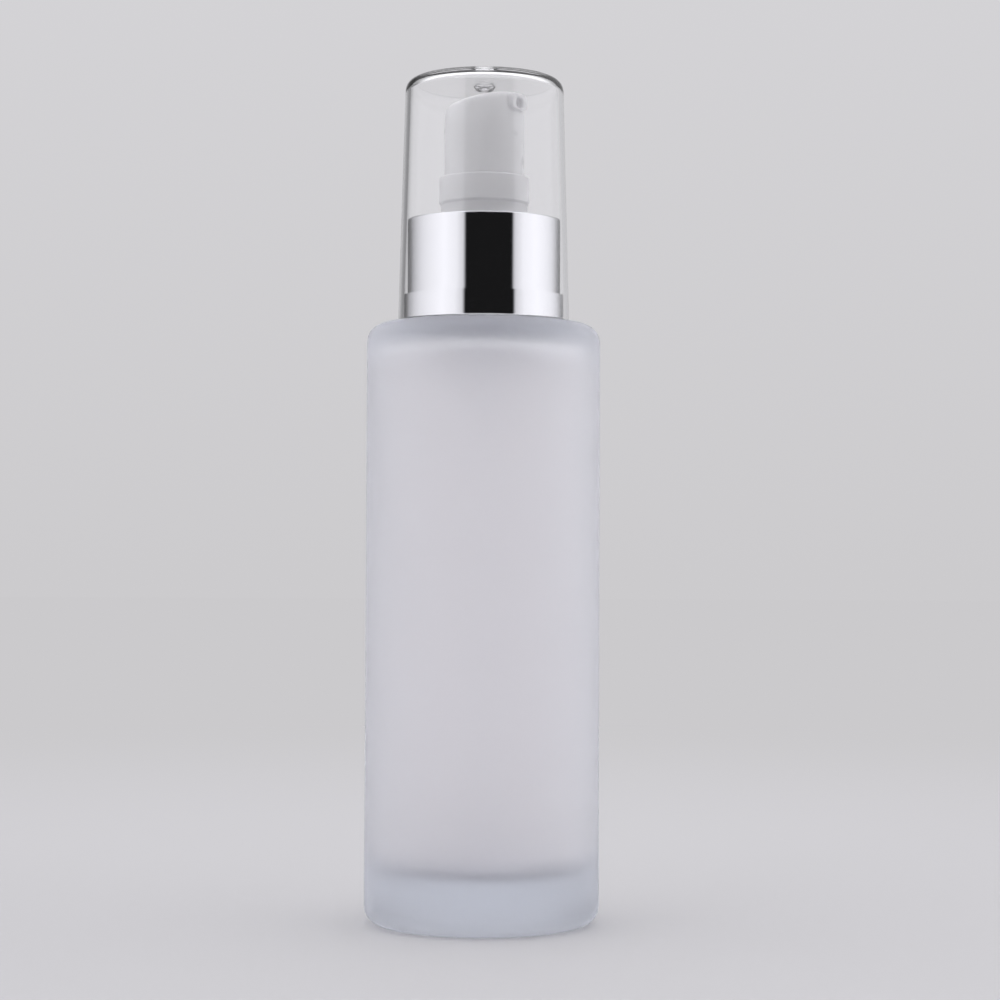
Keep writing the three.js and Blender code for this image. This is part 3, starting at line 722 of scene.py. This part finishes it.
collar_outline = rounded([
    (BAND_RADIUS - SHELL_WALL, COLLAR_FOOT, 0.1),
    (BAND_RADIUS, COLLAR_FOOT, 0.15),
    (BAND_RADIUS, BAND_TOP, 0),
    (SHELL_RADIUS, BAND_TOP, 0),
    (SHELL_RADIUS, COLLAR_TOP, 0.2),
    (DECK_HOLE, COLLAR_TOP, 0.15),
    (DECK_HOLE, COLLAR_TOP - SHELL_WALL, 0.1),
    (SHELL_RADIUS - SHELL_WALL, COLLAR_TOP - SHELL_WALL, 0.1),
    (SHELL_RADIUS - SHELL_WALL, BAND_TOP - SHELL_WALL, 0.1),
    (BAND_RADIUS - SHELL_WALL, BAND_TOP - SHELL_WALL, 0.1),
])
hand_over(turned("collar_shell_chromed", collar_outline), "collar_shell", "collar", ["chrome"])

# %% [markdown]
# ## Nut and gasket
# The nut does the holding: it screws on the neck and clamps the pump's flange onto a soft ring. It is
# injection moulded in natural plastic, on a core that is unscrewed to free the thread. The ring is
# punched from foam sheet.

# %% The nut and the gasket
NUT_BORE = 12.15
NUT_RADIUS = SHELL_RADIUS - SHELL_WALL - 0.1
NUT_SKIRT = NUT_RADIUS + 0.6
DECK_TOP = COLLAR_TOP - 0.55
DECK_FOOT = DECK_TOP - 1.2

nut_outline = rounded([
    (NUT_BORE, COLLAR_FOOT, 0.2),
    (NUT_SKIRT, COLLAR_FOOT, 0.2),
    (NUT_SKIRT, BAND_TOP - 0.6, 0.1),
    (NUT_RADIUS, BAND_TOP - 0.6, 0.1),
    (NUT_RADIUS, DECK_TOP, 0.15),
    (DECK_HOLE, DECK_TOP, 0.15),
    (DECK_HOLE, DECK_FOOT, 0.15),
    (NUT_BORE, DECK_FOOT, 0.3),
])
# The nut's ridge lies under the neck's by half of both widths and a small gap.
RIDGE_OFFSET = 1.35
nut_ridge = thread("nut_ridge", "natural_plastic", NUT_BORE, -1.0, 1.1, 0.6, THREAD_TOP - RIDGE_OFFSET)
nut = carved(turned("closure_nut_moulded", nut_outline), "UNION", [nut_ridge])
hand_over(nut, "closure_nut", "collar", ["natural_plastic"])

GASKET_FOOT, GASKET_TOP = foot("neck_gasket"), top("neck_gasket")
gasket_outline = rounded([
    (NECK_BORE, GASKET_FOOT, 0.12),
    (NECK_RADIUS, GASKET_FOOT, 0.12),
    (NECK_RADIUS, GASKET_TOP, 0.12),
    (NECK_BORE, GASKET_TOP, 0.12),
])
hand_over(turned("neck_gasket_foam", gasket_outline), "neck_gasket", "engine", ["foam"])

# %% [markdown]
# ## White ring and housing
# These stay still when the pump is pressed. The white ring guides the head and closes the housing from
# above; its waist just over the collar shows as a thin shadow line. The housing holds the barrel, the
# valve seat and the socket for the dip tube. Both are plain mouldings, so an outline says it all.

# %% The white ring
RING_FOOT, RING_TOP = foot("turret_ring"), top("turret_ring")
FLANGE_FOOT, FLANGE_THICKNESS = 120.4, 0.85
RING_FLANGE = radius("pump_housing") - 1.65
WAIST_TOP, LEDGE = 125.8, 126.2
RING_RADIUS, RING_BORE, RING_WAIST = 7.95, 7.35, 7.6
GUIDE_BORE, PLUG_RADIUS, UPSTAND_GAP = 2.4, 4.4, 5.6
RING_FLOOR_FOOT, RING_FLOOR_TOP = 123.0, 124.6

ring_outline = rounded([
    (UPSTAND_GAP, FLANGE_FOOT, 0.1),
    (RING_FLANGE, FLANGE_FOOT, 0.15),
    (RING_FLANGE, FLANGE_FOOT + FLANGE_THICKNESS, 0.15),
    (RING_WAIST, FLANGE_FOOT + FLANGE_THICKNESS, 0.2),
    (RING_WAIST, WAIST_TOP, 0.15),
    (RING_RADIUS, LEDGE, 0.25),
    (RING_RADIUS, RING_TOP, 0.22),
    (RING_BORE, RING_TOP, 0.12),
    (RING_BORE, RING_FLOOR_TOP, 0.3),
    (GUIDE_BORE, RING_FLOOR_TOP, 0.15),
    (GUIDE_BORE, RING_FOOT, 0.15),
    (PLUG_RADIUS, RING_FOOT, 0.2),
    (PLUG_RADIUS, RING_FLOOR_FOOT, 0.15),
    (UPSTAND_GAP, RING_FLOOR_FOOT, 0.1),
])
ring = turned("guide_ring_white", ring_outline)
hand_over(ring, "turret_ring", "engine", ["white_plastic"])

# %% The housing
HOUSING_FOOT, HOUSING_TOP = foot("pump_housing"), top("pump_housing")
HOUSING_RADIUS = radius("pump_housing")
BARREL_BORE, BARREL_RADIUS = 4.0, 5.0
COUNTERBORE, UPSTAND_RADIUS, COUNTERBORE_FOOT = 4.5, 5.5, 118.0
BARREL_FLOOR = 98.85
SEAT_FOOT, SEAT_TOP = 94.4, 95.2
SOCKET_BORE, TAIL_RADIUS = 2.05, 3.05
CHAMBER_RADIUS, CHAMBER_MOUTH, INLET_RADIUS = 1.8, 1.35, 1.0

housing_outline = rounded([
    (SOCKET_BORE, HOUSING_FOOT, 0.15),
    (TAIL_RADIUS, HOUSING_FOOT, 0.25),
    (TAIL_RADIUS, SEAT_TOP, 0.6),
    (BARREL_RADIUS, BARREL_FLOOR - 1.0, 0.8),
    (BARREL_RADIUS, COUNTERBORE_FOOT - 1.0, 0.3),
    (UPSTAND_RADIUS, COUNTERBORE_FOOT, 0.3),
    (UPSTAND_RADIUS, GASKET_TOP + 0.05, 0.25),
    (HOUSING_RADIUS, GASKET_TOP + 0.05, 0.15),
    (HOUSING_RADIUS, FLANGE_FOOT - 0.05, 0.15),
    (UPSTAND_RADIUS, FLANGE_FOOT - 0.05, 0.05),
    (UPSTAND_RADIUS, HOUSING_TOP, 0.15),
    (COUNTERBORE, HOUSING_TOP, 0.15),
    (COUNTERBORE, COUNTERBORE_FOOT, 0.15),
    (BARREL_BORE, COUNTERBORE_FOOT, 0.15),
    (BARREL_BORE, BARREL_FLOOR, 0.3),
    (CHAMBER_MOUTH, BARREL_FLOOR, 0.1),
    (CHAMBER_MOUTH, BARREL_FLOOR - 0.4, 0.1),
    (CHAMBER_RADIUS, BARREL_FLOOR - 0.4, 0.1),
    (CHAMBER_RADIUS, SEAT_TOP, 0.2),
    (INLET_RADIUS, SEAT_FOOT, 0.1),
    (INLET_RADIUS, SEAT_FOOT - 1.0, 0.1),
    (SOCKET_BORE, SEAT_FOOT - 1.0, 0.1),
])
housing = turned("pump_housing_moulded", housing_outline, segments=96)
hand_over(housing, "pump_housing", "engine", ["natural_plastic"])

# %% [markdown]
# ## Dip tube
# An extruded tube, cut to length on the slant so that it can't seal itself against the floor. The
# outline gives a straight tube, and its lower end is then sheared to the cutting angle.

# %% The dip tube
TUBE_RADIUS, TUBE_BORE = radius("dip_tube"), 1.3
TUBE_FOOT, TUBE_TOP = foot("dip_tube"), top("dip_tube")

tube_outline = rounded([
    (TUBE_BORE, TUBE_FOOT, 0.08),
    (TUBE_RADIUS, TUBE_FOOT, 0.08),
    (TUBE_RADIUS, TUBE_TOP, 0.12),
    (TUBE_BORE, TUBE_TOP, 0.12),
])
tube = turned("dip_tube_extruded", tube_outline, segments=64)
for vertex in tube.data.vertices:
    if vertex.co.z < (TUBE_FOOT + 1.0) * MM:
        vertex.co.z += TUBE_RADIUS * MM - vertex.co.x
hand_over(tube, "dip_tube", "engine", ["natural_plastic"])

# %% [markdown]
# ## Stem, core, piston and ball
# The stem carries the head and ends in a bell. The core plugs into the stem and has two side ports.
# The piston floats on the core: on the way down it uncovers the ports, on the way up it closes them.
# The ball below is the inlet valve.

# %% The moving parts of the pump
STEM_FOOT, STEM_TOP = foot("stem"), top("stem")
STEM_BORE, STEM_RADIUS, BELL_RADIUS = 1.3, 2.25, radius("stem")

stem_outline = rounded([
    (STEM_BORE, STEM_FOOT, 0.1),
    (BELL_RADIUS, STEM_FOOT, 0.2),
    (BELL_RADIUS, STEM_FOOT + 2.7, 0.25),
    (STEM_RADIUS, STEM_FOOT + 2.7, 0.3),
    (STEM_RADIUS, STEM_TOP, 0.2),
    (STEM_BORE, STEM_TOP, 0.1),
])
stem = turned("stem_moulded", stem_outline, segments=96)
hand_over(stem, "stem", "stem", ["natural_plastic"])

CORE_FOOT, CORE_TOP = foot("piston_core"), top("piston_core")
SHANK_RADIUS, DUCT_RADIUS, CORE_HEAD = 1.9, 0.7, 1.2

core_outline = rounded([
    (0, CORE_FOOT, 0),
    (radius("piston_core"), CORE_FOOT, 0.2),
    (radius("piston_core"), CORE_FOOT + CORE_HEAD, 0.2),
    (SHANK_RADIUS, CORE_FOOT + CORE_HEAD, 0.1),
    (SHANK_RADIUS, STEM_FOOT - 0.05, 0.1),
    (STEM_BORE - 0.05, STEM_FOOT - 0.05, 0.05),
    (STEM_BORE - 0.05, CORE_TOP, 0.15),
    (DUCT_RADIUS, CORE_TOP, 0.1),
    (DUCT_RADIUS, CORE_FOOT + CORE_HEAD - DUCT_RADIUS, 0),
    (0, CORE_FOOT + CORE_HEAD - DUCT_RADIUS, 0),
], closed=False)


def plug(name, reach, low, high, segments=96):
    return turned(name, rounded([(0, low, 0), (reach, low, 0), (reach, high, 0), (0, high, 0)], closed=False),
                  segments)


port = plug("port", DUCT_RADIUS, -2 * SHANK_RADIUS, 2 * SHANK_RADIUS, segments=32)
port_height = CORE_FOOT + CORE_HEAD + 2 * DUCT_RADIUS
port.data.transform(Matrix.Translation((0, 0, port_height * MM)) @ Matrix.Rotation(math.pi / 2, 4, "X"))
core = carved(turned("piston_core_moulded", core_outline, segments=96), "DIFFERENCE", [port])
hand_over(core, "piston_core", "stem", ["natural_plastic"])

PISTON_FOOT, PISTON_TOP = foot("piston"), top("piston")
SLEEVE, LIP = SHANK_RADIUS + 0.05, radius("piston")
MIDWALL = (SLEEVE + LIP) / 2

piston_outline = rounded([
    (SLEEVE, PISTON_FOOT, 0.08),
    (MIDWALL + 0.2, PISTON_FOOT + 0.85, 0.15),
    (LIP - 0.25, PISTON_FOOT, 0.05),
    (LIP, PISTON_FOOT, 0.08),
    (LIP, PISTON_FOOT + 0.5, 0.12),
    (MIDWALL + 0.3, PISTON_FOOT + 1.15, 0.3),
    (MIDWALL + 0.3, PISTON_TOP - 1.15, 0.3),
    (LIP, PISTON_TOP - 0.5, 0.12),
    (LIP, PISTON_TOP, 0.08),
    (LIP - 0.25, PISTON_TOP, 0.05),
    (MIDWALL + 0.2, PISTON_TOP - 0.85, 0.15),
    (SLEEVE, PISTON_TOP, 0.08),
])
piston = turned("piston_moulded", piston_outline, segments=96)
hand_over(piston, "piston", "piston", ["natural_plastic"])

BALL_FOOT, BALL_TOP = foot("check_ball"), top("check_ball")
BALL_RADIUS = (BALL_TOP - BALL_FOOT) / 2
BALL_STEPS = 24
half_circle = [
    Vector((BALL_RADIUS * math.sin(math.pi * k / BALL_STEPS),
            BALL_FOOT + BALL_RADIUS * (1 - math.cos(math.pi * k / BALL_STEPS))))
    for k in range(BALL_STEPS + 1)
]
ball = turned("check_ball_ground", half_circle, segments=48)
hand_over(ball, "check_ball", "ball", ["spring_steel"])

# %% [markdown]
# ## Return spring
# Hard-drawn wire, coiled with closed ends. It is the coil tree again, with a round section. When the
# head is pressed the spring shortens towards its lower end, which rests on the barrel's floor.

# %% The spring
WIRE = 0.7
SPRING_FOOT, SPRING_TOP = 98.9, 109.3
SPRING_RADIUS = 2.75
SPRING_TURNS = 7
POINTS_PER_TURN = 48

spring = coil(
    "return_spring_coiled", "spring_steel", radius=SPRING_RADIUS, foot=SPRING_FOOT + WIRE / 2,
    height=SPRING_TOP - SPRING_FOOT - WIRE, turns=SPRING_TURNS, section_width=WIRE, crest_width=WIRE,
    section_depth=WIRE, fade=0.0, closed_pitch=1.075 * WIRE, points=POINTS_PER_TURN * SPRING_TURNS,
    round=True, inward=False,
)
hand_over(spring, "return_spring", "engine", ["spring_steel"])
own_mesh(spring)

# %% [markdown]
# ## Pump head
# The head is one white moulding: a skirt, a socket for the stem, a finger rest that rises towards the
# front, and a short square nozzle with a recessed mouth. It is built as solids that are joined and
# cut, then remeshed finely and relaxed, which rounds every edge as a mould does. Rounding the joined
# solids edge by edge would need a fillet for each meeting of curved faces.

# %% The head's outer form
HEAD_FOOT = foot("pump_head")
HEAD_RADIUS = 7.05
CROWN_FOOT, CROWN_LOW, CREST_RISE = 140.6, 143.2, 2.4
CROWN_EDGE = 0.9
SPOUT_TURN = math.radians(-35)
NOZZLE_FACE, NOZZLE_WIDTH, NOZZLE_HEIGHT = 7.6, 4.2, 2.9
NOZZLE_DROP = 0.55


def crown_height(along):
    """Height of the finger rest at a distance along the spout's direction."""
    share = min(max((along + HEAD_RADIUS) / (2 * HEAD_RADIUS), 0.0), 1.0)
    return CROWN_LOW + CREST_RISE * share ** 1.6


def head_form():
    flat = HEAD_RADIUS - 0.3
    form = turned("pump_head_white", rounded([
        (0, HEAD_FOOT, 0),
        (HEAD_RADIUS, HEAD_FOOT, 0.2),
        (HEAD_RADIUS, CROWN_FOOT, 0),
        (flat, CROWN_LOW, CROWN_EDGE),
        (flat * 0.6, CROWN_LOW, 0),
        (flat * 0.3, CROWN_LOW, 0),
        (0, CROWN_LOW, 0),
    ], closed=False))
    for vertex in form.data.vertices:
        x, z = vertex.co.x / MM, vertex.co.z / MM
        share = max(z - CROWN_FOOT, 0.0) / (CROWN_LOW - CROWN_FOOT)
        vertex.co.z += share * (crown_height(x) - CROWN_LOW) * MM
    return form


def bar(name, width, height, corner, start, end, centre):
    """A bar of rounded-rectangle section that points along +X."""
    section = []
    for quarter in range(4):
        right, up = [(1, 1), (-1, 1), (-1, -1), (1, -1)][quarter]
        for k in range(FILLET_STEPS + 1):
            angle = math.pi / 2 * (quarter + k / FILLET_STEPS)
            section.append((right * (width / 2 - corner) + corner * math.cos(angle),
                            up * (height / 2 - corner) + corner * math.sin(angle)))
    count = len(section)
    verts = [(x * MM, y * MM, (centre + z) * MM) for x in (start, end) for y, z in section]
    sides = [(k, (k + 1) % count, count + (k + 1) % count, count + k) for k in range(count)]
    mesh = bpy.data.meshes.new(name)
    mesh.from_pydata(verts, [], [tuple(range(count))[::-1], tuple(range(count, 2 * count))] + sides)
    faced_outwards(mesh)
    return link(mesh, name)


# %% Joined, hollowed, remeshed and turned to the front
ROOF_FOOT = CROWN_LOW - 1.4
CHANNEL_FOOT = ROOF_FOOT + 0.75
CHANNEL_TILT = math.radians(6)
BELOW = HEAD_FOOT - 1.0
SOCKET_WALL = STEM_RADIUS + 1.35
SKIRT_BORE = HEAD_RADIUS - 1.0
VOXEL = 0.16
RELAX_ROUNDS = 4


def head_tools():
    channel = plug("channel", 0.75, 0.0, NOZZLE_FACE - 0.45, segments=48)
    tilt = Matrix.Rotation(math.pi / 2 - CHANNEL_TILT, 4, "Y")
    channel.data.transform(Matrix.Translation((0, 0, CHANNEL_FOOT * MM)) @ tilt)
    mouth_height = CHANNEL_FOOT + NOZZLE_FACE * math.tan(CHANNEL_TILT)
    gallery = turned("gallery", rounded([
        (SOCKET_WALL, BELOW, 0), (SKIRT_BORE, BELOW, 0),
        (SKIRT_BORE, ROOF_FOOT - 1.0, 0.4), (SOCKET_WALL, ROOF_FOOT - 1.0, 0.4),
    ]))
    return [
        plug("mouth", SKIRT_BORE, BELOW, HEAD_FOOT + 1.4),
        gallery,
        plug("socket", STEM_RADIUS + 0.05, BELOW, ROOF_FOOT),
        plug("riser", STEM_BORE, BELOW, CHANNEL_FOOT, segments=48),
        channel,
        bar("orifice", 2.0, 1.7, 0.5, NOZZLE_FACE - 0.9, NOZZLE_FACE + 1.0, mouth_height),
    ]


def make_head():
    centre = crown_height(HEAD_RADIUS) - NOZZLE_DROP - NOZZLE_HEIGHT / 2
    nozzle = bar("nozzle", NOZZLE_WIDTH, NOZZLE_HEIGHT, 0.8, HEAD_RADIUS - 2.1, NOZZLE_FACE, centre)
    head = carved(head_form(), "UNION", [nozzle])
    head = carved(head, "DIFFERENCE", head_tools())
    remesh = head.modifiers.new("remesh", "REMESH")
    remesh.mode = "VOXEL"
    remesh.voxel_size = VOXEL * MM
    relax = head.modifiers.new("relax", "SMOOTH")
    relax.factor = 0.5
    relax.iterations = RELAX_ROUNDS
    applied(head)
    head.data.transform(Matrix.Rotation(SPOUT_TURN, 4, "Z"))
    head.data.polygons.foreach_set("use_smooth", [True] * len(head.data.polygons))
    return head


hand_over(make_head(), "pump_head", "head", ["white_plastic"])

# %% [markdown]
# ## Overcap
# Clear moulded plastic, with a slight draft so that it leaves the mould, and a small dimple in the
# middle of its top where the plastic was let in. The dimple shows inside as a little hanging lens.

# %% The overcap
CAP_FOOT, CAP_TOP = foot("overcap"), top("overcap")
CAP_RADIUS = radius("overcap")
CAP_WALL = 0.9
CAP_SLOPE = math.tan(math.radians(1.54))
CAP_CEILING = CAP_TOP - 1.2
# The dimple goes this deep from above, and the plastic under it hangs this far below the ceiling.
DIMPLE_DEPTH, DIMPLE_HANG = 0.75, 0.95


def cap_outer(height):
    return CAP_RADIUS - CAP_SLOPE * (height - CAP_FOOT)


def cap_inner(height):
    return cap_outer(height) - CAP_WALL


cap_outline = rounded([
    (0, CAP_CEILING - DIMPLE_HANG, 0),
    (0.8, CAP_CEILING - 0.93, 0.5),
    (1.6, CAP_CEILING - 0.55, 0.6),
    (1.9, CAP_CEILING, 0.15),
    (cap_inner(CAP_CEILING), CAP_CEILING, 1.1),
    (CAP_RADIUS - CAP_WALL, CAP_FOOT, 0.2),
    (CAP_RADIUS, CAP_FOOT, 0.2),
    (cap_outer(CAP_TOP), CAP_TOP, 2.0),
    (1.75, CAP_TOP, 0.15),
    (1.2, CAP_TOP - 0.65, 0.4),
    (0.6, CAP_TOP - DIMPLE_DEPTH, 0.4),
    (0, CAP_TOP - DIMPLE_DEPTH, 0),
], closed=False)
hand_over(turned("overcap_clear", cap_outline), "overcap", "cap", ["clear_plastic"])

# %% [markdown]
# ## Rendering glass
# Light that goes through the cap and the bottle crosses many surfaces, so it needs more bounces than
# the default, or the glass turns dark where surfaces lie behind each other. The plain view transform
# keeps the pale tones as they were set; a filmic one would grey them.

# %% Render settings that belong to the glass
scene = bpy.context.scene
scene.view_settings.view_transform = "Standard"
scene.cycles.use_denoising = True
scene.cycles.max_bounces = 24
scene.cycles.transmission_bounces = 20
scene.cycles.transparent_max_bounces = 12
scene.cycles.glossy_bounces = 6
scene.cycles.diffuse_bounces = 4
